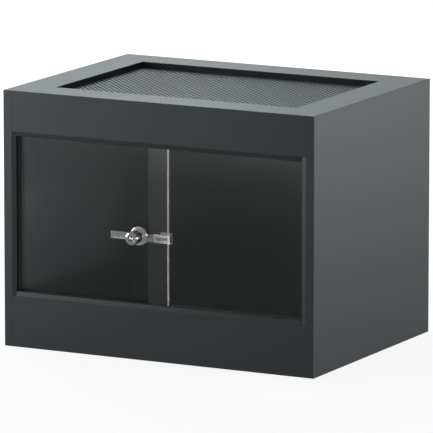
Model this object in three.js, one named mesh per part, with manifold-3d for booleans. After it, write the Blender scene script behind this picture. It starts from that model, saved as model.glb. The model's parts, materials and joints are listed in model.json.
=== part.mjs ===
// A terrarium cabinet of plastic board: a screened top, two sliding glass doors in E-section tracks,
// and a ratchet lock that holds the doors closed.
// Millimetres, +Z up, +X to the right and +Y to the back.
// The origin is the centre of the cabinet's underside.
import * as THREE from "three";
import { mergeVertices } from "three/addons/utils/BufferGeometryUtils.js";
import Module from "manifold-3d";

// ---- Cabinet ----
const cabinetWidth = 406.4;
const cabinetDepth = 304.8;
const cabinetHeight = 304.8;
const boardThickness = 10.5;
const kickBoardHeight = 61;
const headerHeight = 48;
const boardJoint = 0.05; // hairline left between two boards, or a board and what is glued to it

// ---- Dowels in the board ends ----
const dowelDiameter = 6;
const dowelDepthInSide = 6.5;
const dowelDepthInEnd = 13;
const dowelClearance = 0.15;
const dowelEndInset = 12; // from a narrow board's edge to its dowel
const dowelDeepInset = 60; // from a deep board's edge to its dowel

// ---- Top screen ----
const topRimWidth = 45;
const screenRecess = 7; // from the cabinet's top face down to the screen
const screenThickness = 1;
const screenPitch = 15.4; // between two rows of the net, which run at 45 degrees
const screenWire = 3; // web left between two gaps of the net
const screenEdge = 3.5; // plain band between the rim's opening and the first gaps
const rebateWidth = 13; // ledge under the rim that holds the screen and its strips
const stripFit = 0.3;
const stripScrewHeadDiameter = 5;
const stripScrewHeadHeight = 1.6;
const stripScrewCrownDiameter = 3.5; // flat face of the head
const stripScrewSlotLength = 2.5;
const stripScrewSlotWidth = 0.65;
const stripScrewSlotDepth = 0.8;
const stripScrewDiameter = 2.9;
const stripScrewGrip = 5; // depth of the screw in the board
const stripScrewClearance = 0.25;
const stripScrewEndInset = 34;

// ---- Door tracks ----
const trackWall = 1.5;
const trackGroove = 5.5;
const trackLip = 5.5;

// ---- Glass doors ----
const glassThickness = 4;
const glassFrontClearance = 0.25; // from the groove's front wall to the glass
const glassEdgeClearance = 0.3;
const glassTopClearance = 1;
const doorOverlap = 23.3;
const doorOverlapCentre = -1.45;

// ---- Ratchet bar and its hook ----
const barCentreHeight = 144.5;
const barHeight = 9;
const barThickness = 1.4;
const barStandOff = 1.05; // from the rear pane to the bar
const barReach = 75; // from the rear pane's free edge to the bar's free end
const barTongueThickness = 0.6;
const barEndRadius = 0.8;
const toothPitch = 2;
const toothDepth = 0.5;
const toothBandHeight = 6.6;
const toothBandEndInset = 3;
const toothBandLength = 46;
const clipThickness = 0.9;
const clipLap = 17.4; // from the rear pane's free edge to the clip's left end
const clipHeight = 10.2;
const clipReturnHeight = 12.6;
const clipReturnLength = 15.1;
const clipEdgeGap = 2.5; // from the rear pane's free edge to the clip's web
const clipRearGap = 2.8; // from the rear pane's back to the clip's return leg
const clipBendRadius = 1.6;
const clipJoint = 0.05;
const clipSlotHeight = 3;
const clipSlotInset = 2;
const rivetDiameter = 1.8;
const rivetHeadDiameter = 3.6;
const rivetHeadHeight = 0.2;
const rivetInset = 12.8; // from the rear pane's free edge
const rivetClearance = 0.2;
const padClearance = 0.15;
const padLength = 9;
const padHeight = 8;

// ---- Lock ----
const lockRise = 1.6; // of the lock's axis over the bar's middle
const lockOffset = 12.3; // of the lock's axis from the front pane's free edge
const lockGlassClearance = 0.3; // from the rear pane
const lockPaneGap = 1.4; // from the front pane's free edge to the sleeve, less than a tooth
const lockSlotClearance = 0.15;
const lockSleeveWall = 0.8;
const lockSleeveDepth = 4.6;
const lockSleeveLeft = 12.2; // of the sleeve's left end from the lock's axis
const lockFlangeDiameter = 22.4;
const lockFlangeDepth = 6;
const lockFlangeChamfer = 0.8;
const lockBarrelDiameter = 15.8;
const lockBarrelLength = 18.6;
const lockBarrelChamfer = 1;
const plugDiameter = 11.8;
const plugClearance = 0.3;
const plugLength = 13.6;
const plugProud = 0.3;
const plugChamfer = 0.4;
const keyRingOuterDiameter = 8.4;
const keyRingInnerDiameter = 4.6;
const keyRingDepth = 6;
const keyNotchWidth = 1.4;
const keyNotchDepth = 1.2;
const camPinDiameter = 1.8;
const camPinRadius = 4.5;
const camPinLength = 5;
const pawlWidth = 3.8;
const pawlHeight = 2.8;
const pawlHeadDiameter = 5.6;
const pawlHeadThickness = 1;
const pawlClearance = 0.25;
const pawlTravel = 0.8;
const pawlFloor = 2.4; // of the housing, between the bar's slot and the plug's bore
const springWire = 0.4;
const springDiameter = 3.8;
const springTurns = 3;

// ---- Facets ----
const roundSides = 32;
const smallSides = 12;
const bendSides = 5;
const springSides = 5;
const springStepsPerTurn = 8;

// ---- Colours ----
const boardFinish = { color: 0x3b444a, roughness: 0.6, metalness: 0 };
const trackFinish = { color: 0x24292c, roughness: 0.45, metalness: 0 };
const dowelFinish = { color: 0xc9a878, roughness: 0.8, metalness: 0 };
const screenFinish = { color: 0x3a4044, roughness: 0.5, metalness: 0.4 };
const glassFinish = { color: 0x9fb4b8, roughness: 0.05, metalness: 0, transparent: true, opacity: 0.35 };
const chromeFinish = { color: 0xd4d6d8, roughness: 0.15, metalness: 1 };
const steelFinish = { color: 0x8d9296, roughness: 0.35, metalness: 1 };
const rubberFinish = { color: 0x1d1f20, roughness: 0.85, metalness: 0 };

const wasm = await Module();
wasm.setup();

const cabinet = new THREE.Group();

// ---- Shared shapes ----
function toSolid(geometry) {
  const bare = geometry.clone();
  bare.deleteAttribute("normal");
  bare.deleteAttribute("uv");
  const merged = mergeVertices(bare, 1e-4);
  return new wasm.Manifold(
    new wasm.Mesh({
      numProp: 3,
      vertProperties: merged.attributes.position.array,
      triVerts: new Uint32Array(merged.index.array),
    }),
  );
}

function toGeometry(solid) {
  const mesh = solid.getMesh();
  const geometry = new THREE.BufferGeometry();
  geometry.setAttribute("position", new THREE.BufferAttribute(mesh.vertProperties, 3));
  geometry.setIndex(new THREE.BufferAttribute(mesh.triVerts, 1));
  geometry.computeVertexNormals();
  return geometry;
}

function cut(geometry, cutters) {
  return toGeometry(cutters.reduce((solid, cutter) => solid.subtract(toSolid(cutter)), toSolid(geometry)));
}

function join(geometries) {
  return toGeometry(geometries.map(toSolid).reduce((solid, next) => solid.add(next)));
}

function addPart(name, geometry, finish) {
  const mesh = new THREE.Mesh(geometry, new THREE.MeshStandardMaterial(finish));
  mesh.name = name;
  cabinet.add(mesh);
}

// A block from its lowest corner to its highest corner.
function block(low, high) {
  const geometry = new THREE.BoxGeometry(high[0] - low[0], high[1] - low[1], high[2] - low[2]);
  return geometry.translate((low[0] + high[0]) / 2, (low[1] + high[1]) / 2, (low[2] + high[2]) / 2);
}

// A round rod along X.
function rodX(diameter, fromX, toX, y, z, sides) {
  const geometry = new THREE.CylinderGeometry(diameter / 2, diameter / 2, toX - fromX, sides);
  return geometry.rotateZ(Math.PI / 2).translate((fromX + toX) / 2, y, z);
}

// A solid turned about an axis along Y: its profile holds [radius, y] pairs, in order of rising y.
function turnedY(profile, x, z, sides) {
  const points = profile.map(([radius, y]) => new THREE.Vector2(radius, y));
  return new THREE.LatheGeometry(points, sides).translate(x, 0, z);
}

function rodY(diameter, fromY, toY, x, z, sides) {
  const radius = diameter / 2;
  return turnedY([[0, fromY], [radius, fromY], [radius, toY], [0, toY]], x, z, sides);
}

// A solid turned about an axis along Z: its profile holds [radius, z] pairs, in order of rising z.
function turnedZ(profile, x, y, sides) {
  const points = profile.map(([radius, z]) => new THREE.Vector2(radius, z));
  return new THREE.LatheGeometry(points, sides).rotateX(Math.PI / 2).translate(x, y, 0);
}

function rodZ(diameter, fromZ, toZ, x, y, sides) {
  const radius = diameter / 2;
  return turnedZ([[0, fromZ], [radius, fromZ], [radius, toZ], [0, toZ]], x, y, sides);
}

// A section of [y, z] points carried along X.
function sweptX(section, fromX, toX) {
  const shape = new THREE.Shape(section.map(([y, z]) => new THREE.Vector2(y, z)));
  const geometry = new THREE.ExtrudeGeometry(shape, { depth: toX - fromX, bevelEnabled: false });
  const axes = new THREE.Matrix4().makeBasis(
    new THREE.Vector3(0, 1, 0),
    new THREE.Vector3(0, 0, 1),
    new THREE.Vector3(1, 0, 0),
  );
  return geometry.applyMatrix4(axes).translate(fromX, 0, 0);
}

// A shape in the X-Y plane carried along Z.
function sweptZ(shape, fromZ, toZ) {
  const options = { depth: toZ - fromZ, bevelEnabled: false, curveSegments: bendSides };
  return new THREE.ExtrudeGeometry(shape, options).translate(0, 0, fromZ);
}

// ---- Planes that the pieces share ----
const sideX = cabinetWidth / 2;
const innerX = sideX - boardThickness;
const frontY = -cabinetDepth / 2;
const backY = cabinetDepth / 2;
const boardBehindFrontY = frontY + boardThickness;
const backPanelFrontY = backY - boardThickness;
const floorZ = boardThickness;
const doorwayBottomZ = kickBoardHeight;
const doorwayTopZ = cabinetHeight - headerHeight;
const topUndersideZ = cabinetHeight - boardThickness;
const boardEndX = innerX - boardJoint;

// ---- Boards and dowels ----
// A dowel lies along X at each [y, z] place, at both ends of its board.
const boards = [
  {
    name: "front_header",
    low: [frontY, doorwayTopZ],
    high: [boardBehindFrontY, cabinetHeight],
    dowels: [doorwayTopZ + dowelEndInset, cabinetHeight - dowelEndInset].map((z) => [
      frontY + boardThickness / 2,
      z,
    ]),
  },
  {
    name: "front_kick_board",
    low: [frontY, 0],
    high: [boardBehindFrontY, doorwayBottomZ],
    dowels: [dowelEndInset, doorwayBottomZ - dowelEndInset].map((z) => [frontY + boardThickness / 2, z]),
  },
  {
    name: "base_panel",
    low: [boardBehindFrontY + boardJoint, 0],
    high: [backPanelFrontY - boardJoint, floorZ],
    dowels: [boardBehindFrontY + dowelDeepInset, backPanelFrontY - dowelDeepInset].map((y) => [
      y,
      boardThickness / 2,
    ]),
  },
  {
    name: "back_panel",
    low: [backPanelFrontY, 0],
    high: [backY, cabinetHeight],
    dowels: [dowelDeepInset, cabinetHeight - dowelDeepInset].map((z) => [backY - boardThickness / 2, z]),
  },
  {
    name: "top_frame",
    low: [boardBehindFrontY + boardJoint, topUndersideZ],
    high: [backPanelFrontY - boardJoint, cabinetHeight],
    dowels: [boardBehindFrontY + dowelDeepInset, backPanelFrontY - dowelDeepInset].map((y) => [
      y,
      cabinetHeight - boardThickness / 2,
    ]),
  },
];

function dowelHole(side, [y, z]) {
  const diameter = dowelDiameter + 2 * dowelClearance;
  const ends = [
    side * (innerX + dowelDepthInSide + dowelClearance),
    side * (boardEndX - dowelDepthInEnd - dowelClearance),
  ];
  return rodX(diameter, Math.min(...ends), Math.max(...ends), y, z, smallSides);
}

function addDowels(board) {
  for (const [sideName, side] of [["left", -1], ["right", 1]]) {
    board.dowels.forEach(([y, z], index) => {
      const ends = [side * (innerX + dowelDepthInSide), side * (boardEndX - dowelDepthInEnd)];
      const rod = rodX(dowelDiameter, Math.min(...ends), Math.max(...ends), y, z, smallSides);
      addPart(`dowel_${board.name}_${sideName}_${index + 1}`, rod, dowelFinish);
    });
  }
}

function addSidePanel(name, side) {
  const edges = [side * innerX, side * sideX];
  const panel = block([Math.min(...edges), frontY, 0], [Math.max(...edges), backY, cabinetHeight]);
  const holes = boards.flatMap((board) => board.dowels).map((place) => dowelHole(side, place));
  addPart(name, cut(panel, holes), boardFinish);
}

function boardBlock(board) {
  return block([-boardEndX, ...board.low], [boardEndX, ...board.high]);
}

function boardHoles(board) {
  return board.dowels.flatMap((place) => [dowelHole(-1, place), dowelHole(1, place)]);
}

// ---- Top screen, held in a rebate under the rim by four screwed strips ----
const rimOpeningX = sideX - topRimWidth;
const rimOpeningY = backY - topRimWidth;
const rebateX = rimOpeningX + rebateWidth;
const rebateY = rimOpeningY + rebateWidth;
const screenTopZ = cabinetHeight - screenRecess - boardJoint;
const screenUndersideZ = screenTopZ - screenThickness;
const stripTopZ = screenUndersideZ - boardJoint;
const stripScrewX = rimOpeningX + rebateWidth / 2;
const stripScrewY = rimOpeningY + rebateWidth / 2;

const stripScrewPlaces = [
  ...[-1, 0, 1].map((step) => [step * (rimOpeningX - stripScrewEndInset), -stripScrewY]),
  ...[-1, 0, 1].map((step) => [step * (rimOpeningX - stripScrewEndInset), stripScrewY]),
  [-stripScrewX, 0],
  [stripScrewX, 0],
];

function stripScrewHole([x, y], fromZ, toZ) {
  return rodZ(stripScrewDiameter + 2 * stripScrewClearance, fromZ, toZ, x, y, smallSides);
}

function addTopFrame(board) {
  const opening = block([-rimOpeningX, -rimOpeningY, 0], [rimOpeningX, rimOpeningY, 2 * cabinetHeight]);
  const rebate = block([-rebateX, -rebateY, 0], [rebateX, rebateY, cabinetHeight - screenRecess]);
  const screwHoles = stripScrewPlaces.map((place) =>
    stripScrewHole(place, screenUndersideZ, screenTopZ + stripScrewGrip + stripScrewClearance),
  );
  const cutters = [opening, rebate, ...boardHoles(board), ...screwHoles];
  addPart(board.name, cut(boardBlock(board), cutters), boardFinish);
}

// A flat net: square gaps turned by 45 degrees, as many as fit inside the rim's opening.
function addScreen() {
  const halfX = rebateX - stripFit;
  const halfY = rebateY - stripFit;
  const outline = new THREE.Shape();
  outline.moveTo(-halfX, -halfY);
  outline.lineTo(halfX, -halfY);
  outline.lineTo(halfX, halfY);
  outline.lineTo(-halfX, halfY);
  const reach = (screenPitch - screenWire) / Math.SQRT2; // from a gap's centre to its corner
  const step = screenPitch / Math.SQRT2; // between neighbouring columns, which are staggered
  const lastColumn = Math.floor((rimOpeningX - screenEdge - reach) / step);
  const lastRow = Math.floor((rimOpeningY - screenEdge - reach) / step);
  for (let column = -lastColumn; column <= lastColumn; column++) {
    for (let row = -lastRow; row <= lastRow; row++) {
      if ((column + row) % 2 !== 0) continue;
      const gap = new THREE.Path();
      gap.moveTo(column * step + reach, row * step);
      gap.lineTo(column * step, row * step + reach);
      gap.lineTo(column * step - reach, row * step);
      gap.lineTo(column * step, row * step - reach);
      outline.holes.push(gap);
    }
  }
  const sheet = sweptZ(outline, screenUndersideZ, screenTopZ);
  const screwHoles = stripScrewPlaces.map((place) => stripScrewHole(place, 0, 2 * cabinetHeight));
  addPart("top_screen", cut(sheet, screwHoles), screenFinish);
}

function addStrip(name, low, high) {
  const strip = block([...low, topUndersideZ], [...high, stripTopZ]);
  const holes = stripScrewPlaces.map((place) => stripScrewHole(place, 0, 2 * cabinetHeight));
  addPart(name, cut(strip, holes), trackFinish);
}

function addStrips() {
  const outerX = rebateX - stripFit;
  const outerY = rebateY - stripFit;
  addStrip("screen_strip_front", [-outerX, -outerY], [outerX, -rimOpeningY]);
  addStrip("screen_strip_back", [-outerX, rimOpeningY], [outerX, outerY]);
  const endY = rimOpeningY - stripFit;
  addStrip("screen_strip_left", [-outerX, -endY], [-rimOpeningX, endY]);
  addStrip("screen_strip_right", [rimOpeningX, -endY], [outerX, endY]);
}

function addStripScrews() {
  const headBottomZ = topUndersideZ - stripScrewHeadHeight - boardJoint;
  const headTopZ = topUndersideZ - boardJoint;
  const tipZ = screenTopZ + stripScrewGrip;
  const headRadius = stripScrewHeadDiameter / 2;
  const crownRadius = stripScrewCrownDiameter / 2;
  const shankRadius = stripScrewDiameter / 2;
  const slotHalfSizes = [
    [stripScrewSlotLength / 2, stripScrewSlotWidth / 2],
    [stripScrewSlotWidth / 2, stripScrewSlotLength / 2],
  ];
  stripScrewPlaces.forEach(([x, y], index) => {
    const screw = turnedZ(
      [
        [0, headBottomZ],
        [crownRadius, headBottomZ],
        [headRadius, headBottomZ + stripScrewHeadHeight / 2],
        [headRadius, headTopZ],
        [shankRadius, headTopZ],
        [shankRadius, tipZ - stripScrewDiameter],
        [0, tipZ],
      ],
      x,
      y,
      smallSides,
    );
    const slots = slotHalfSizes.map(([halfX, halfY]) =>
      block(
        [x - halfX, y - halfY, headBottomZ - stripScrewSlotDepth],
        [x + halfX, y + halfY, headBottomZ + stripScrewSlotDepth],
      ),
    );
    addPart(`screen_strip_screw_${index + 1}`, cut(screw, slots), steelFinish);
  });
}

// ---- Door tracks: an E section with two grooves, glued round the doorway ----
const trackDepth = 3 * trackWall + 2 * trackGroove;
const webX = innerX - boardJoint - trackWall; // inner face of a side channel's web
const lipX = innerX - boardJoint - trackLip;
const trackFloorZ = doorwayBottomZ + boardJoint + trackWall;
const trackRoofZ = doorwayTopZ - boardJoint - trackWall;

// The section's points, from a base on the board to lips that stand trackLip proud of it.
// out is +1 or -1, the way that the lips point.
function trackSection(base, out) {
  const web = base + out * trackWall;
  const lip = base + out * trackLip;
  const points = [[frontY, base], [frontY, lip]];
  for (let groove = 0; groove < 2; groove++) {
    const start = frontY + trackWall + groove * (trackGroove + trackWall);
    points.push([start, lip], [start, web], [start + trackGroove, web], [start + trackGroove, lip]);
  }
  points.push([frontY + trackDepth, lip], [frontY + trackDepth, base]);
  return points;
}

function addTracks() {
  const endX = lipX - boardJoint;
  const bottom = trackSection(doorwayBottomZ + boardJoint, 1);
  const top = trackSection(doorwayTopZ - boardJoint, -1);
  addPart("door_track_bottom", sweptX(bottom, -endX, endX), trackFinish);
  addPart("door_track_top", sweptX(top, -endX, endX), trackFinish);
  for (const [name, side] of [["side_channel_left", -1], ["side_channel_right", 1]]) {
    const section = trackSection(side * (innerX - boardJoint), -side);
    const shape = new THREE.Shape(section.map(([y, x]) => new THREE.Vector2(x, y)));
    const channel = sweptZ(shape, doorwayBottomZ + boardJoint, doorwayTopZ - boardJoint);
    addPart(name, channel, trackFinish);
  }
}

// ---- Glass doors ----
const frontGlassY = frontY + trackWall + glassFrontClearance;
const rearGlassY = frontGlassY + trackGroove + trackWall;
const glassBottomZ = trackFloorZ + glassEdgeClearance;
const glassTopZ = trackRoofZ - glassTopClearance;
const glassSideX = webX - glassEdgeClearance;
const rearPaneEdgeX = doorOverlapCentre + doorOverlap / 2;
const frontPaneEdgeX = doorOverlapCentre - doorOverlap / 2;

function addPanes() {
  const rear = block(
    [-glassSideX, rearGlassY, glassBottomZ],
    [rearPaneEdgeX, rearGlassY + glassThickness, glassTopZ],
  );
  const front = block(
    [frontPaneEdgeX, frontGlassY, glassBottomZ],
    [glassSideX, frontGlassY + glassThickness, glassTopZ],
  );
  addPart("rear_glass_pane", rear, glassFinish);
  addPart("front_glass_pane", front, glassFinish);
}

// ---- Ratchet bar: lies in front of the rear pane and hooks round that pane's free edge ----
const barBackY = rearGlassY - barStandOff;
const barFrontY = barBackY - barThickness;
const barLeftX = rearPaneEdgeX - barReach;
const toothBandStartX = barLeftX + toothBandEndInset;
const barLowZ = barCentreHeight - barHeight / 2;
const barHighZ = barCentreHeight + barHeight / 2;
const clipLeftX = rearPaneEdgeX - clipLap;
const clipWebX = rearPaneEdgeX + clipEdgeGap;
const clipBackY = barBackY - barTongueThickness - clipJoint; // of the clip's front leg
const clipFrontY = clipBackY - clipThickness;
const rivetX = rearPaneEdgeX - rivetInset;

function addRatchetBar() {
  const outline = new THREE.Shape();
  const tongueEndX = rearPaneEdgeX + barEndRadius;
  outline.moveTo(barLeftX, barBackY);
  outline.lineTo(barLeftX, barFrontY + barEndRadius);
  outline.lineTo(barLeftX + barEndRadius, barFrontY);
  outline.lineTo(clipLeftX - rivetClearance, barFrontY);
  outline.lineTo(clipLeftX - rivetClearance, barBackY - barTongueThickness);
  outline.lineTo(tongueEndX, barBackY - barTongueThickness);
  outline.lineTo(tongueEndX, barBackY);
  const bar = sweptZ(outline, barLowZ, barHighZ);
  const holeDiameter = rivetDiameter + 2 * rivetClearance;
  const rivetHole = rodY(holeDiameter, clipFrontY, rearGlassY, rivetX, barCentreHeight, smallSides);
  addPart("ratchet_bar", cut(bar, [toothComb(), rivetHole]), chromeFinish);
}

// What is cut from the bar's face: saw-tooth notches, each deepest at its left end.
function toothComb() {
  const count = Math.floor(toothBandLength / toothPitch);
  const above = barFrontY - toothDepth; // well clear of the bar's face
  const comb = new THREE.Shape();
  comb.moveTo(toothBandStartX, above);
  comb.lineTo(toothBandStartX + count * toothPitch, above);
  for (let tooth = count; tooth > 0; tooth--) {
    comb.lineTo(toothBandStartX + tooth * toothPitch, barFrontY);
    comb.lineTo(toothBandStartX + (tooth - 1) * toothPitch, barFrontY + toothDepth);
  }
  comb.lineTo(toothBandStartX, barFrontY);
  const half = toothBandHeight / 2;
  return sweptZ(comb, barCentreHeight - half, barCentreHeight + half);
}

// A J-shaped plate: a front leg over the bar's tongue, a web past the pane's edge and a return leg.
function addHookClip() {
  const returnFrontY = rearGlassY + glassThickness + clipRearGap;
  const returnBackY = returnFrontY + clipThickness;
  const outerX = clipWebX + clipThickness;
  const returnLeftX = clipWebX - clipReturnLength;
  const innerRadius = clipBendRadius - clipThickness;
  const shape = new THREE.Shape();
  shape.moveTo(clipLeftX, clipFrontY);
  shape.lineTo(outerX - clipBendRadius, clipFrontY);
  shape.absarc(outerX - clipBendRadius, clipFrontY + clipBendRadius, clipBendRadius, -Math.PI / 2, 0, false);
  shape.lineTo(outerX, returnBackY - clipBendRadius);
  shape.absarc(outerX - clipBendRadius, returnBackY - clipBendRadius, clipBendRadius, 0, Math.PI / 2, false);
  shape.lineTo(returnLeftX, returnBackY);
  shape.lineTo(returnLeftX, returnFrontY);
  shape.absarc(clipWebX - innerRadius, returnFrontY - innerRadius, innerRadius, Math.PI / 2, 0, true);
  shape.absarc(clipWebX - innerRadius, clipBackY + innerRadius, innerRadius, 0, -Math.PI / 2, true);
  shape.lineTo(clipLeftX, clipBackY);
  const plate = sweptZ(shape, barCentreHeight - clipReturnHeight / 2, barCentreHeight + clipReturnHeight / 2);
  const frontLegTrims = [-1, 1].map((way) => {
    const edge = barCentreHeight + (way * clipHeight) / 2;
    const far = barCentreHeight + way * clipReturnHeight;
    return block(
      [clipLeftX - clipThickness, clipFrontY - clipThickness, Math.min(edge, far)],
      [outerX + clipThickness, rearGlassY, Math.max(edge, far)],
    );
  });
  const slotHalf = clipSlotHeight / 2;
  const slotFromY = clipFrontY - clipThickness;
  const slotToY = clipBackY + clipJoint / 2;
  const slot = join([
    block(
      [rivetX, slotFromY, barCentreHeight - slotHalf],
      [clipWebX - clipSlotInset, slotToY, barCentreHeight + slotHalf],
    ),
    rodY(clipSlotHeight, slotFromY, slotToY, rivetX, barCentreHeight, smallSides),
  ]);
  addPart("hook_clip", cut(plate, [...frontLegTrims, slot]), chromeFinish);
}

function addClipRivet() {
  const headY = clipFrontY - rivetHeadHeight - rivetClearance / 2;
  const shoulderY = clipFrontY - rivetClearance / 2;
  const shankRadius = rivetDiameter / 2;
  const headRadius = rivetHeadDiameter / 2;
  const rivet = turnedY(
    [
      [0, headY],
      [headRadius, headY],
      [headRadius, shoulderY],
      [shankRadius, shoulderY],
      [shankRadius, barBackY],
      [0, barBackY],
    ],
    rivetX,
    barCentreHeight,
    smallSides,
  );
  addPart("clip_rivet", rivet, chromeFinish);
}

function addHookPads() {
  const rightX = rearPaneEdgeX - padClearance;
  const half = padHeight / 2;
  const frontPad = block(
    [rightX - padLength, barBackY + padClearance, barCentreHeight - half],
    [rightX, rearGlassY - padClearance, barCentreHeight + half],
  );
  const rearPad = block(
    [rightX - padLength, rearGlassY + glassThickness + padClearance, barCentreHeight - half],
    [rightX, rearGlassY + glassThickness + clipRearGap - padClearance, barCentreHeight + half],
  );
  addPart("hook_pad_front", frontPad, rubberFinish);
  addPart("hook_pad_rear", rearPad, rubberFinish);
}

// ---- Lock: slides on the ratchet bar, against the front pane's free edge ----
const lockX = frontPaneEdgeX - lockOffset;
const lockZ = barCentreHeight + lockRise;
const lockBackY = rearGlassY - lockGlassClearance;
const flangeFrontY = lockBackY - lockFlangeDepth;
const barrelFrontY = flangeFrontY - lockBarrelLength;
const slotFrontY = barFrontY - lockSlotClearance;
const boreFloorY = slotFrontY - pawlFloor;
const plugFrontY = barrelFrontY - plugProud;
const plugBackY = plugFrontY + plugLength;

function addLockHousing() {
  const flangeRadius = lockFlangeDiameter / 2;
  const barrelRadius = lockBarrelDiameter / 2;
  const body = turnedY(
    [
      [0, barrelFrontY],
      [barrelRadius - lockBarrelChamfer, barrelFrontY],
      [barrelRadius, barrelFrontY + lockBarrelChamfer],
      [barrelRadius, flangeFrontY],
      [flangeRadius - lockFlangeChamfer, flangeFrontY],
      [flangeRadius, flangeFrontY + lockFlangeChamfer],
      [flangeRadius, lockBackY],
      [0, lockBackY],
    ],
    lockX,
    lockZ,
    roundSides,
  );
  const sleeveHalf = barHeight / 2 + lockSlotClearance + lockSleeveWall;
  const sleeve = block(
    [lockX - lockSleeveLeft, lockBackY - lockSleeveDepth, barCentreHeight - sleeveHalf],
    [frontPaneEdgeX - lockPaneGap, lockBackY, barCentreHeight + sleeveHalf],
  );
  const slotHalf = barHeight / 2 + lockSlotClearance;
  const barSlot = block(
    [lockX - 2 * lockFlangeDiameter, slotFrontY, barCentreHeight - slotHalf],
    [lockX + 2 * lockFlangeDiameter, barBackY + lockSlotClearance, barCentreHeight + slotHalf],
  );
  const boreDiameter = plugDiameter + 2 * plugClearance;
  const bore = rodY(boreDiameter, plugFrontY - plugProud, boreFloorY, lockX, lockZ, roundSides);
  const pawlHole = block(
    [lockX - pawlWidth / 2 - pawlClearance, boreFloorY - pawlFloor, lockZ - pawlHeight / 2 - pawlClearance],
    [lockX + pawlWidth / 2 + pawlClearance, barFrontY, lockZ + pawlHeight / 2 + pawlClearance],
  );
  addPart("lock_housing", cut(join([body, sleeve]), [barSlot, bore, pawlHole]), chromeFinish);
}

// A tubular key's plug: a ring-shaped keyway round a centre post, a key notch and a cam pin behind.
function addLockPlug() {
  const radius = plugDiameter / 2;
  const body = turnedY(
    [
      [0, plugFrontY],
      [radius - plugChamfer, plugFrontY],
      [radius, plugFrontY + plugChamfer],
      [radius, plugBackY],
      [0, plugBackY],
    ],
    lockX,
    lockZ,
    roundSides,
  );
  const pinFromY = plugBackY - camPinLength;
  const pinToY = plugBackY + camPinLength;
  const camPin = rodY(camPinDiameter, pinFromY, pinToY, lockX, lockZ + camPinRadius, smallSides);
  const ringOuter = keyRingOuterDiameter / 2;
  const ringInner = keyRingInnerDiameter / 2;
  const ringFrontY = plugFrontY - plugProud;
  const ringBackY = plugFrontY + keyRingDepth;
  const keyRing = turnedY(
    [
      [ringInner, ringFrontY],
      [ringOuter, ringFrontY],
      [ringOuter, ringBackY],
      [ringInner, ringBackY],
      [ringInner, ringFrontY],
    ],
    lockX,
    lockZ,
    roundSides,
  );
  const notch = block(
    [lockX - keyNotchWidth / 2, ringFrontY, lockZ + ringInner],
    [lockX + keyNotchWidth / 2, ringBackY, lockZ + ringOuter + keyNotchDepth],
  );
  addPart("lock_plug", cut(join([body, camPin]), [keyRing, notch]), chromeFinish);
}

// The pawl is drawn unlocked, lifted off the bar. It drops by pawlTravel into the notch behind it.
const pawlNotch = Math.floor((lockX - toothBandStartX) / toothPitch);
const pawlTipX = toothBandStartX + pawlNotch * toothPitch + pawlClearance / 2;
const pawlHeadBackY = boreFloorY - pawlClearance - pawlTravel;
const pawlHeadFrontY = pawlHeadBackY - pawlHeadThickness;
const pawlStemBackY = barFrontY - pawlClearance - pawlTravel;

function addLockPawl() {
  const tip = new THREE.Shape();
  tip.moveTo(pawlTipX, pawlStemBackY);
  tip.lineTo(pawlTipX + toothPitch - pawlClearance, pawlStemBackY);
  tip.lineTo(pawlTipX, pawlStemBackY + toothDepth);
  const wedge = sweptZ(tip, lockZ - pawlHeight / 2, lockZ + pawlHeight / 2);
  const stem = block(
    [lockX - pawlWidth / 2, pawlHeadFrontY, lockZ - pawlHeight / 2],
    [lockX + pawlWidth / 2, pawlStemBackY, lockZ + pawlHeight / 2],
  );
  const head = rodY(pawlHeadDiameter, pawlHeadFrontY, pawlHeadBackY, lockX, lockZ, smallSides);
  addPart("lock_pawl", join([stem, head, wedge]), steelFinish);
}

// A compression spring between the plug and the pawl's head, drawn at its shortest length.
function addPawlSpring() {
  const backEndY = pawlHeadFrontY - pawlClearance - springWire / 2;
  const frontEndY = plugBackY + pawlClearance + springWire / 2;
  const radius = (springDiameter - springWire) / 2;
  const steps = springTurns * springStepsPerTurn;
  const rings = [];
  for (let step = 0; step <= steps; step++) {
    const angle = (2 * Math.PI * step) / springStepsPerTurn;
    const y = frontEndY + ((backEndY - frontEndY) * step) / steps;
    const out = new THREE.Vector3(Math.cos(angle), 0, Math.sin(angle));
    const centre = new THREE.Vector3(lockX, y, lockZ).addScaledVector(out, radius);
    rings.push({ centre, out });
  }
  const positions = [];
  for (const { centre, out } of rings) {
    for (let side = 0; side < springSides; side++) {
      const turn = (2 * Math.PI * side) / springSides;
      const point = centre.clone().addScaledVector(out, (springWire / 2) * Math.cos(turn));
      point.y += (springWire / 2) * Math.sin(turn);
      positions.push(point.x, point.y, point.z);
    }
  }
  const index = [];
  for (let ring = 0; ring < rings.length - 1; ring++) {
    for (let side = 0; side < springSides; side++) {
      const a = ring * springSides + side;
      const b = ring * springSides + ((side + 1) % springSides);
      index.push(a, b, a + springSides, b, b + springSides, a + springSides);
    }
  }
  const lastRing = (rings.length - 1) * springSides;
  for (let side = 1; side < springSides - 1; side++) {
    index.push(0, side + 1, side, lastRing, lastRing + side, lastRing + side + 1);
  }
  const geometry = new THREE.BufferGeometry();
  geometry.setAttribute("position", new THREE.Float32BufferAttribute(positions, 3));
  geometry.setIndex(index);
  geometry.computeVertexNormals();
  addPart("pawl_spring", geometry, steelFinish);
}

// ---- Assembly ----
addSidePanel("left_side_panel", -1);
addSidePanel("right_side_panel", 1);
for (const board of boards) {
  if (board.name === "top_frame") addTopFrame(board);
  else addPart(board.name, cut(boardBlock(board), boardHoles(board)), boardFinish);
  addDowels(board);
}
addScreen();
addStrips();
addStripScrews();
addTracks();
addPanes();
addRatchetBar();
addHookClip();
addClipRivet();
addHookPads();
addLockHousing();
addLockPlug();
addLockPawl();
addPawlSpring();

export default cabinet;
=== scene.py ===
# The looks of a terrarium cabinet of plastic board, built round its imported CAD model.
# Metres, +Z up, +X to the right and +Y to the back.
import json
import math

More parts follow.
